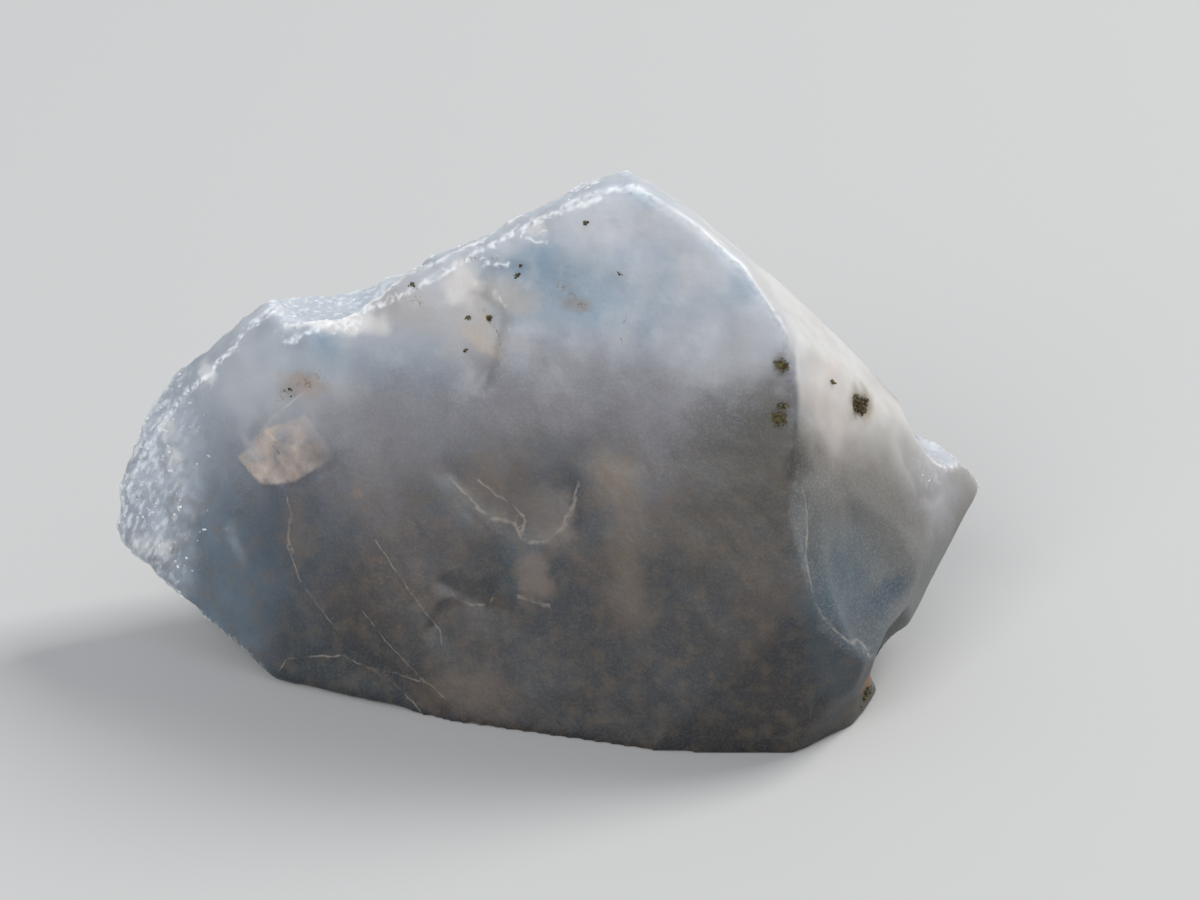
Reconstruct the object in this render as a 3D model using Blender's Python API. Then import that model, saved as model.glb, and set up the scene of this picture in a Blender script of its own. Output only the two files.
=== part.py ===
"""A broken piece of one celestine crystal, 48 mm long, as it lies on its flat cleavage face.

The frame is +Z up, +X to the right and +Y away from the viewer, with the broad fracture face
looking along -Y. The origin is under the middle of the piece, on the surface it rests on.

The piece is one solid. Its form is the convex hull of named corners, where cleavage and fracture
faces meet. Shell-shaped breaks, flake scars, cleavage steps, pits, nibbled edges and crushed lumps
are then worked into it.
"""

import math

import bmesh
import bpy
import numpy as np
from mathutils import Matrix, Vector, noise

MM = 0.001

# Driving dimensions, in metres
VOXEL = 0.26 * MM
BELOW_BASE = 1.0 * MM
WELD = 0.06 * MM
TRIANGLES = 9400
WORN_EDGE_PASSES = 1

# Corners of the broad front fracture face, x, y, z in millimetres
FRONT_CORNERS = {
    "front_apex": (5.0, -2.2, 28.2),
    "front_apex_left": (3.0, -1.6, 27.7),
    "front_roof_mid": (-0.1, -1.1, 26.0),
    "front_notch": (-4.2, -0.5, 23.5),
    "front_crest": (-7.9, 0.2, 21.4),
    "crease_top": (-11.5, 0.1, 17.4),
    "crease_low": (-15.6, 0.7, 13.5),
    "roof_edge_high": (8.1, -3.8, 26.7),
    "roof_edge_low": (10.4, -5.0, 25.0),
    "ridge_top": (12.5, -6.7, 22.3),
    "ridge_high": (12.7, -8.2, 17.6),
    "ridge_mid": (12.8, -9.2, 14.6),
    "ridge_low": (13.2, -10.3, 11.3),
    "ridge_foot": (14.0, -11.2, 9.2),
    "ridge_end": (16.7, -11.4, 5.7),
    "front_middle": (0.9, -6.6, 9.4),
    "left_bevel_top": (-17.8, -0.4, 6.2),
    "left_bevel_low": (-14.4, -3.4, 1.8),
}

# Corners round the outline, from the left end over the top to the right end and back below
OUTLINE_CORNERS = {
    "left_tip": (-24.2, 3.5, 7.4),
    "left_low": (-24.2, 2.9, 5.1),
    "left_knob": (-23.3, 4.5, 10.4),
    "left_shoulder": (-21.3, 5.0, 13.9),
    "left_brow": (-19.5, 5.0, 15.2),
    "brow_left": (-17.4, 2.9, 15.5),
    "brow_front": (-13.3, 1.4, 18.9),
    "crest_left": (-15.0, 5.3, 19.1),
    "apex_left": (3.6, 1.6, 27.1),
    "apex": (4.6, 1.2, 27.9),
    "apex_right": (5.7, 0.8, 27.5),
    "roof_right": (8.2, 0.5, 25.8),
    "roof_end": (12.6, -1.5, 22.6),
    "shoulder_high": (15.8, 1.0, 18.4),
    "shoulder_mid": (18.4, 2.5, 15.3),
    "tip_inner": (20.9, 1.4, 12.0),
    "tip_front": (22.3, 0.4, 9.4),
    "tip_top": (23.2, 4.5, 9.6),
    "right_tip": (24.6, 4.0, 8.2),
    "tip_under": (22.7, 2.3, 6.8),
    "right_under": (21.6, 1.5, 4.6),
    "base_corner_high": (18.1, -6.6, 1.7),
    "left_under": (-17.9, 0.2, 1.8),
}

# Corners of the back, which slopes down from the crest to a bulge low behind the piece
BACK_CORNERS = {
    "back_crest_left": (-13.0, 8.5, 15.0),
    "back_left": (-19.5, 7.5, 11.0),
    "back_left_low": (-17.5, 6.0, 4.5),
    "back_high": (-1.0, 8.0, 20.5),
    "back_right_high": (12.0, 6.5, 17.0),
    "back_tip": (19.5, 6.5, 8.5),
    "back_right_low": (14.0, 9.0, 6.5),
    "back_low": (-3.0, 12.5, 7.0),
}

# Corners of the flat cleavage face that the piece lies on. They are carried below it and cut off.
BASE_CORNERS = {
    "base_left": (-12.6, -5.6),
    "base_left_front": (-6.9, -7.9),
    "base_front": (-0.7, -9.1),
    "base_front_mid": (5.1, -11.2),
    "base_right": (12.8, -11.7),
    "base_corner": (16.7, -8.0),
    "base_right_side": (16.0, -1.5),
    "base_back_right": (11.0, 7.0),
    "base_back": (0.0, 9.5),
    "base_back_left": (-11.0, 5.5),
}

# Shell-shaped breaks: a point on the surface and its outward direction, the direction of the
# longer axis, half the length, half the width and the depth, all in millimetres
SHELL_BREAKS = {
    "crest_scoop": ((-10.5, 4.3, 21.2), (-0.30, 0.05, 0.95), (1, 0, 0.42), 5.6, 4.8, 2.60),
    "crest_shallow": ((-4.4, 3.8, 24.1), (-0.42, 0.10, 0.90), (1, 0, 0.45), 10.0, 5.0, 1.55),
    "tip_notch": ((21.3, 3.2, 12.1), (0.70, -0.10, 0.70), (0.6, 0, -0.8), 2.6, 3.0, 1.00),
    "foot_undercut": ((16.0, -11.4, 4.4), (0.50, -0.85, -0.15), (0.45, 0.35, -0.8), 2.8, 1.7, 0.60),
    "foot_notch": ((18.6, -5.6, 2.9), (0.90, -0.35, -0.25), (-0.3, -0.9, 0.4), 3.4, 2.0, 1.45),
    "foot_scoop": ((17.3, -8.0, 7.6), (0.80, -0.50, 0.33), (0.45, 0.45, -0.78), 4.4, 2.6, 0.32),
    "edge_patch": ((-0.6, -1.0, 25.7), (-0.35, -0.45, 0.82), (1, 0, 0.5), 1.5, 0.9, 0.25),
    "back_shell_high": ((-5.5, 9.4, 16.2), (-0.18, 0.80, 0.57), (1, 0, 0.3), 6.5, 4.6, 1.2),
    "back_shell_mid": ((2.5, 10.0, 13.2), (0.10, 0.80, 0.57), (1, 0, -0.5), 4.6, 2.8, 0.7),
    "back_shell_right": ((14.6, 5.6, 12.4), (0.52, 0.76, 0.38), (0.6, -0.3, -0.7), 5.0, 3.6, 1.0),
    "back_shell_low": ((5.0, 10.6, 3.4), (0.10, 0.90, -0.42), (1, -0.1, 0), 5.5, 2.6, 0.8),
    "back_left_shell": ((-18.0, 6.8, 8.0), (-0.60, 0.78, -0.15), (0.3, 0.2, 1), 3.8, 2.8, 0.7),
}
SHELL_UNEVEN = 0.55
SHELL_UNEVEN_LENGTH = 2.6 * MM

# Pits where earth sits, and the groove left of the crease, in the same terms as the breaks
PITS = {
    "right_face_pit": ((16.8, -3.6, 16.4), (0.83, -0.44, 0.33), (0.5, 0.4, -0.75), 0.80, 0.60, 0.32),
    "ridge_pit_high": ((12.2, -7.5, 20.4), (0.30, -0.90, 0.30), (0.1, 0, -1), 0.85, 0.42, 0.28),
    "ridge_pit_low": ((12.1, -8.3, 17.7), (0.30, -0.90, 0.30), (0.1, 0, -1), 0.80, 0.60, 0.32),
    "left_groove": ((-13.2, 0.1, 15.9), (-0.40, -0.85, 0.35), (1, 0, 0.62), 1.9, 0.45, 0.30),
    "upper_dash": ((1.5, -3.2, 22.2), (-0.34, -0.89, 0.30), (1, 0, -0.75), 0.95, 0.35, 0.22),
    "upper_pit": ((-1.3, -1.9, 22.9), (-0.34, -0.89, 0.30), (0.2, 0, 1), 0.42, 0.36, 0.22),
    "notch_pit": ((-2.8, -2.1, 20.6), (-0.34, -0.89, 0.30), (0.5, 0, -1), 0.60, 0.36, 0.22),
}

# Faces that carry flake scars, by the direction that they look in
FACES = {
    "front": (-0.32, -0.91, 0.26),
    "right": (0.83, -0.44, 0.34),
}

# Flake scars: the face, the centre, the radius and the drop in millimetres, and the direction in
# degrees in which the scar's sharp rim lies, from the face's level line upward, and half its angle
FLAKE_SCARS = {
    "middle_left_lobe": ("front", (-2.2, -4.4, 13.6), 3.0, 0.42, -112, 60),
    "middle_right_lobe": ("front", (0.1, -5.8, 12.0), 2.0, 0.38, -50, 95),
    "middle_lower_lobe": ("front", (-3.7, -5.8, 7.9), 1.8, 0.24, -90, 65),
    "notch_flake": ("front", (-5.0, -2.0, 19.7), 3.2, 0.42, 12, 60),
    "upper_ledge": ("front", (-1.7, -2.0, 21.9), 1.7, 0.28, 112, 60),
    "beige_flake": ("front", (-13.3, -0.4, 13.4), 2.7, 0.40, -110, 85),
    "low_middle_flake": ("front", (-3.0, -7.0, 3.4), 3.2, 0.20, 120, 50),
    "lower_left_arch": ("front", (-9.6, -5.6, -3.2), 5.6, 0.28, 92, 60),
    "left_flake": ("front", (-14.6, -1.6, 7.8), 2.6, 0.26, 160, 70),
    "ridge_flake": ("right", (12.9, -8.5, 17.0), 2.7, 0.55, -90, 60),
    "tip_flake": ("right", (21.9, 0.6, 12.6), 3.4, 0.26, -150, 50),
    "foot_flake": ("right", (17.4, -5.6, 6.9), 2.4, 0.28, 120, 60),
}
SCAR_REACH = 3.0 * MM
RIM_WIDTH = 0.42 * MM

# Cleavage steps cross the back, each a drop over a narrow riser
STEP_TILT = 20.0
STEP_SPACING = 2.6 * MM
STEP_DROP = 0.30 * MM
STEP_RISER = 0.18

# Uneven relief: the height in metres and the length over which it varies
SWELL = (0.20 * MM, 7.5 * MM)
FAINT_LUMPS = (0.05 * MM, 2.2 * MM)
CRUSHED_LUMPS = (0.50 * MM, 2.1 * MM)
CRUSHED_LEVEL = 0.45
NIBBLES = (0.55 * MM, 1.7 * MM)
EDGE_SPREAD = 3


def clear_scene():
    for thing in list(bpy.data.objects):
        bpy.data.objects.remove(thing, do_unlink=True)


def in_metres(point):
    return Vector(point) * MM


def all_corners():
    """Every named corner of the hull as a vector in metres, the base's corners below z = 0."""
    corners = []
    for group in (FRONT_CORNERS, OUTLINE_CORNERS, BACK_CORNERS):
        corners += [in_metres(point) for point in group.values()]
    for x, y in BASE_CORNERS.values():
        corners.append(Vector((x * MM, y * MM, -BELOW_BASE)))
    return corners


def faceted_body(name, corners):
    """The convex body whose cleavage and fracture faces meet at the named corners."""
    shape = bmesh.new()
    for point in corners:
        shape.verts.new(point)
    made = bmesh.ops.convex_hull(shape, input=shape.verts)
    unused = [e for e in made["geom_interior"] if isinstance(e, bmesh.types.BMVert)]
    bmesh.ops.delete(shape, geom=unused, context="VERTS")
    bmesh.ops.recalc_face_normals(shape, faces=shape.faces)
    mesh = bpy.data.meshes.new(name)
    shape.to_mesh(mesh)
    shape.free()
    body = bpy.data.objects.new(name, mesh)
    bpy.context.scene.collection.objects.link(body)
    return body


def apply_modifiers(body):
    """Replaces the body's mesh with what its modifiers make of it."""
    depsgraph = bpy.context.evaluated_depsgraph_get()
    made = bpy.data.meshes.new_from_object(body.evaluated_get(depsgraph))
    old = body.data
    body.modifiers.clear()
    body.data = made
    bpy.data.meshes.remove(old)


def remesh(body):
    """Gives the body an even fine mesh, which also wears its edges slightly round."""
    grid = body.modifiers.new("even grid", "REMESH")
    grid.mode = "VOXEL"
    grid.voxel_size = VOXEL
    worn = body.modifiers.new("worn edges", "SMOOTH")
    worn.factor = 0.5
    worn.iterations = WORN_EDGE_PASSES
    apply_modifiers(body)


def read_points(mesh):
    points = np.empty(len(mesh.vertices) * 3)
    mesh.vertices.foreach_get("co", points)
    return points.reshape(-1, 3)


def read_normals(mesh):
    normals = np.empty(len(mesh.vertices) * 3)
    mesh.vertex_normals.foreach_get("vector", normals)
    return normals.reshape(-1, 3)


def write_points(mesh, points):
    mesh.vertices.foreach_set("co", points.ravel())
    mesh.update()


def smooth_step(value):
    t = np.clip(value, 0.0, 1.0)
    return t * t * (3.0 - 2.0 * t)


def rough(points, length, octaves=1):
    """Smooth noise at each point, about -1 to 1, that varies over the given length."""
    return np.array([noise.fractal(Vector(p) / length, 1.0, 2.0, octaves) for p in points])


def neighbour_mean(mesh, values):
    """The mean of each vertex's neighbours, for an array with one row for each vertex."""
    ends = np.empty(len(mesh.edges) * 2, dtype=np.int64)
    mesh.edges.foreach_get("vertices", ends)
    first, second = ends.reshape(-1, 2).T
    total = np.zeros_like(values)
    np.add.at(total, first, values[second])
    np.add.at(total, second, values[first])
    count = np.bincount(first, minlength=len(values)) + np.bincount(second, minlength=len(values))
    return total / count.reshape((-1,) + (1,) * (values.ndim - 1))


def edge_share(mesh, points, normals):
    """1 along the edges where faces meet, fading to 0 within about a millimetre."""
    bulge = ((points - neighbour_mean(mesh, points)) * normals).sum(axis=1)
    share = smooth_step(bulge / (0.16 * VOXEL) - 0.3)
    for _ in range(EDGE_SPREAD):
        share = np.maximum(share, neighbour_mean(mesh, share))
    return share


def local_frame(outward, along):
    """Rows: the longer axis, the axis across it and the outward direction."""
    up = Vector(outward).normalized()
    side = up.cross(Vector(along)).normalized()
    forward = side.cross(up)
    return np.array([forward, side, up])


def shell_break(points, centre, outward, along, half_length, half_width, depth):
    """Presses the points in a flat-lying ellipsoid down onto its uneven lower side.

    This is the surface that a shell-shaped (conchoidal) fracture leaves.
    """
    frame = local_frame(outward, along)
    radius = (half_width**2 + depth**2) / (2.0 * depth)
    local = (points - np.array(centre)) @ frame.T
    local[:, 2] -= radius - depth
    shrunk = local[:, 0] * half_width / half_length
    across = shrunk**2 + local[:, 1] ** 2
    near = np.flatnonzero((across < (2.0 * half_width) ** 2) & (np.abs(local[:, 2]) < 1.2 * radius))
    uneven = 1.0 + SHELL_UNEVEN * rough(points[near], SHELL_UNEVEN_LENGTH)
    wide = np.minimum(across[near] * np.maximum(uneven, 0.3), radius**2)
    floor = -np.sqrt(radius**2 - wide)
    above = local[near, 2] - floor
    pressed = (above > 0.0) & (local[near, 2] < radius)
    moved = points.copy()
    moved[near[pressed]] -= np.outer(above[pressed], frame[2])
    return moved


def cut_breaks(points, breaks):
    for centre, outward, along, *sizes in breaks.values():
        half_length, half_width, depth = (size * MM for size in sizes)
        points = shell_break(
            points, in_metres(centre), outward, along, half_length, half_width, depth
        )
    return points


def flake_scars(points, normals):
    """How far the flake scars lower each point. Each is deepest at its sharp rim."""
    drop = np.zeros(len(points))
    for face, centre, radius, depth, rim_degrees, half_angle in FLAKE_SCARS.values():
        facing = Vector(FACES[face]).normalized()
        level = Vector((0, 0, 1)).cross(facing).normalized()
        rise = facing.cross(level)
        off = points - np.array(in_metres(centre))
        right = off @ np.array(level)
        up = off @ np.array(rise)
        distance = np.hypot(right, up)
        angle = np.degrees(np.arctan2(up, right)) - rim_degrees
        off_rim = np.abs((angle + 180.0) % 360.0 - 180.0)
        wave = 0.07 * np.sin(np.radians(angle * 5.0)) + 0.03 * np.sin(np.radians(angle * 11.0))
        inside = radius * MM * (1.0 + wave) - distance
        rim = smooth_step(inside / RIM_WIDTH + 0.5)
        fade = np.clip(distance / (radius * MM), 0.0, 1.0) ** 2
        around = smooth_step((half_angle - off_rim) / 30.0 + 0.5)
        on_face = smooth_step((normals @ np.array(facing) - 0.5) / 0.3)
        near = np.abs(off @ np.array(facing)) < SCAR_REACH
        drop = np.maximum(drop, depth * MM * rim * fade * around * on_face * near)
    return drop


def cleavage_steps(points, normals):
    """How far the cleavage steps lower each point of the back."""
    tilt = math.radians(STEP_TILT)
    along = points[:, 0] * math.sin(tilt) + points[:, 2] * math.cos(tilt)
    level = along / STEP_SPACING + 0.6 * rough(points, 9.0 * MM)
    rise = smooth_step((level % 1.0) / STEP_RISER)
    slope = 1.0 - (level % 1.0)
    back = smooth_step((normals[:, 1] - 0.25) / 0.3)
    broken = smooth_step(0.5 + 3.0 * rough(points, 5.0 * MM))
    return STEP_DROP * rise * slope * back * broken


def crushed_share(points):
    """1 on the crushed left end and along the upper left crest, fading to 0 elsewhere."""
    left_end = smooth_step((-17.5 * MM - points[:, 0]) / (4.0 * MM))
    crest_height = 24.6 * MM + 0.42 * points[:, 0]
    crest = smooth_step((points[:, 2] - crest_height) / (1.4 * MM) + 0.3)
    upper_left = 0.6 * crest * smooth_step((3.0 * MM - points[:, 0]) / (4.0 * MM))
    return np.maximum(left_end, upper_left)


def relief(mesh, points, normals):
    """How far the swelling, the lumps, the nibbled edges, scars and steps move each point out."""
    swell_height, swell_length = SWELL
    faint_height, faint_length = FAINT_LUMPS
    crushed_height, crushed_length = CRUSHED_LUMPS
    nibble_depth, nibble_length = NIBBLES
    crushed = np.abs(rough(points, crushed_length, 2)) - CRUSHED_LEVEL
    bites = np.clip(rough(points, nibble_length, 2) - 0.05, 0.0, 1.0)
    return (
        swell_height * rough(points, swell_length)
        + faint_height * rough(points, faint_length)
        + crushed_height * crushed * crushed_share(points)
        - nibble_depth * bites * edge_share(mesh, points, normals)
        - flake_scars(points, normals)
        - cleavage_steps(points, normals)
    )


def work_surface(body):
    """Works the relief, the breaks and the pits into the fine mesh."""
    mesh = body.data
    points = read_points(mesh)
    normals = read_normals(mesh)
    points = points + normals * relief(mesh, points, normals)[:, None]
    points = cut_breaks(points, SHELL_BREAKS)
    points = cut_breaks(points, PITS)
    write_points(mesh, points)


def lighten_mesh(body):
    """Keeps triangles at edges and steps, and spends few of them on the flat faces."""
    faces = sum(len(p.vertices) - 2 for p in body.data.polygons)
    fewer = body.modifiers.new("fewer triangles", "DECIMATE")
    fewer.ratio = TRIANGLES / faces
    fewer.use_collapse_triangulate = True
    apply_modifiers(body)


def cut_flat_base(body):
    """Cuts the body along the plane z = 0, which leaves the flat face it rests on."""
    shape = bmesh.new()
    shape.from_mesh(body.data)
    everything = shape.verts[:] + shape.edges[:] + shape.faces[:]
    bmesh.ops.bisect_plane(
        shape, geom=everything, plane_co=(0, 0, 0), plane_no=(0, 0, -1), clear_outer=True
    )
    open_edges = [e for e in shape.edges if e.is_boundary]
    rim = {v for e in open_edges for v in e.verts}
    bmesh.ops.remove_doubles(shape, verts=list(rim), dist=WELD)
    open_edges = [e for e in shape.edges if e.is_boundary]
    bmesh.ops.holes_fill(shape, edges=open_edges, sides=0)
    bmesh.ops.triangulate(shape, faces=shape.faces)
    bmesh.ops.dissolve_degenerate(shape, edges=shape.edges, dist=WELD / 10.0)
    bmesh.ops.triangulate(shape, faces=shape.faces)
    bmesh.ops.recalc_face_normals(shape, faces=shape.faces)
    shape.to_mesh(body.data)
    shape.free()


def centre_on_origin(body):
    """Moves the mesh so that the origin is under the middle of its box, at its lowest level."""
    points = read_points(body.data)
    low = points.min(axis=0)
    high = points.max(axis=0)
    body.data.transform(
        Matrix.Translation((-(low[0] + high[0]) / 2, -(low[1] + high[1]) / 2, -low[2]))
    )


def celestine_material():
    """Pale grey-blue celestine, part clear."""
    material = bpy.data.materials.new("celestine")
    material.use_nodes = True
    shader = material.node_tree.nodes["Principled BSDF"]
    shader.inputs["Base Color"].default_value = (0.50, 0.58, 0.66, 1.0)
    shader.inputs["Roughness"].default_value = 0.28
    shader.inputs["Metallic"].default_value = 0.0
    shader.inputs["IOR"].default_value = 1.62
    shader.inputs["Transmission Weight"].default_value = 0.6
    material.diffuse_color = (0.50, 0.58, 0.66, 1.0)
    return material


def shade(body):
    body.data.materials.clear()
    body.data.materials.append(celestine_material())
    body.data.shade_smooth()
    body.data.set_sharp_from_angle(angle=math.radians(25.0))


def crystal():
    """The celestine piece as one closed solid."""
    body = faceted_body("crystal", all_corners())
    remesh(body)
    work_surface(body)
    lighten_mesh(body)
    cut_flat_base(body)
    centre_on_origin(body)
    shade(body)
    return body


def main():
    clear_scene()
    crystal()


main()
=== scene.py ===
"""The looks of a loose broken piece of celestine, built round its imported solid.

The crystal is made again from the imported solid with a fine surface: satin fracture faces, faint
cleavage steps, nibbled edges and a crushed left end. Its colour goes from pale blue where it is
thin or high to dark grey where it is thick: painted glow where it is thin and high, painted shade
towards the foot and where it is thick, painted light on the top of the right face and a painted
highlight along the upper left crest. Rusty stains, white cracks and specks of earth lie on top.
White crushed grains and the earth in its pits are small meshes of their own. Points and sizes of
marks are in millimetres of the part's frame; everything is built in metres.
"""

import math
import random

import bmesh
import bpy
import numpy as np
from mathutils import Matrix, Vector, noise
from mathutils.bvhtree import BVHTree
from mathutils.kdtree import KDTree


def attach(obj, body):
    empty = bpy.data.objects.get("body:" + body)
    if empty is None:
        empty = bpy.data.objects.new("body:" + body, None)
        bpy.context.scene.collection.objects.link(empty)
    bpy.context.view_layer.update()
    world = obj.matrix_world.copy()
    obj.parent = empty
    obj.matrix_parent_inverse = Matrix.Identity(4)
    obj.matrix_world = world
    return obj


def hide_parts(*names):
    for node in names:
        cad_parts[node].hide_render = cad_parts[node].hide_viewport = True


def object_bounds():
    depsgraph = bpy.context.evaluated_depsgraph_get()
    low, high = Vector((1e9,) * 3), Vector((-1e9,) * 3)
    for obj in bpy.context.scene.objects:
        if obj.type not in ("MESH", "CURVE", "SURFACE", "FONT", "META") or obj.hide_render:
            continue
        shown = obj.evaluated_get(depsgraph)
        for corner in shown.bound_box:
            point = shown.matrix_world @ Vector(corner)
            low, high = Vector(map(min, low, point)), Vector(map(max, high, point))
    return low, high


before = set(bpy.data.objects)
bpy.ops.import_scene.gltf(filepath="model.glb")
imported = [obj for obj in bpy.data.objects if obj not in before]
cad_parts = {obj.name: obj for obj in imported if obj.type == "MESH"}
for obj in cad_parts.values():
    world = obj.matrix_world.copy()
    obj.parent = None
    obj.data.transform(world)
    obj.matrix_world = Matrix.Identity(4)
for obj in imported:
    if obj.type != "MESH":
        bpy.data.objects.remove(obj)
cad_low, cad_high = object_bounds()

MM = 0.001
BODY = "root"
NODE = "crystal"

# The photograph's view: the camera's place, how far it looks down, and its lens
CAMERA_PLACE = (3.02 * MM, -139.6 * MM, 77.1 * MM)
LOOKING_DOWN = math.radians(25.0)
LENS = 85.0
SENSOR = 36.0

# The crystal's fine mesh: the size of its faces in millimetres
FACE_SIZE = 0.215
SMOOTH_PASSES = 5


def tone(red, green, blue):
    """A colour given as display values from 0 to 255, as the linear values that Blender uses."""
    return tuple(((value / 255.0 + 0.055) / 1.055) ** 2.4 for value in (red, green, blue))


# Colours: from the light top to the dark foot, painted glow above and painted shade below, then the ends and
# faces, then the marks
LIGHT = tone(214, 217, 222)
PALE_BLUE = tone(150, 176, 196)
MIDDLE = tone(150, 149, 156)
MAUVE = tone(74, 64, 58)
SHADE_GREY = tone(44, 50, 56)
BLUE_SHADE = tone(78, 102, 120)
LEFT_END = tone(168, 178, 188)
SUGAR = tone(216, 225, 234)
FROST = tone(244, 246, 246)
# The right face's warm white top is painted light.
WARM_WHITE = tone(250, 246, 240)
BACK = tone(150, 164, 178)
RIGHT_MIDDLE = tone(132, 125, 116)
RIGHT_LOW = tone(118, 121, 119)
BEIGE = tone(184, 168, 156)
CREAM = tone(208, 195, 180)
RUST = tone(128, 92, 60)
RUST_SHADE = tone(110, 84, 58)
OLIVE = tone(84, 82, 48)
EARTH = tone(60, 45, 26)
CRACK_WHITE = tone(214, 200, 180)
VEIL = tone(122, 101, 74)
TEAL = tone(54, 70, 80)

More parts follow.
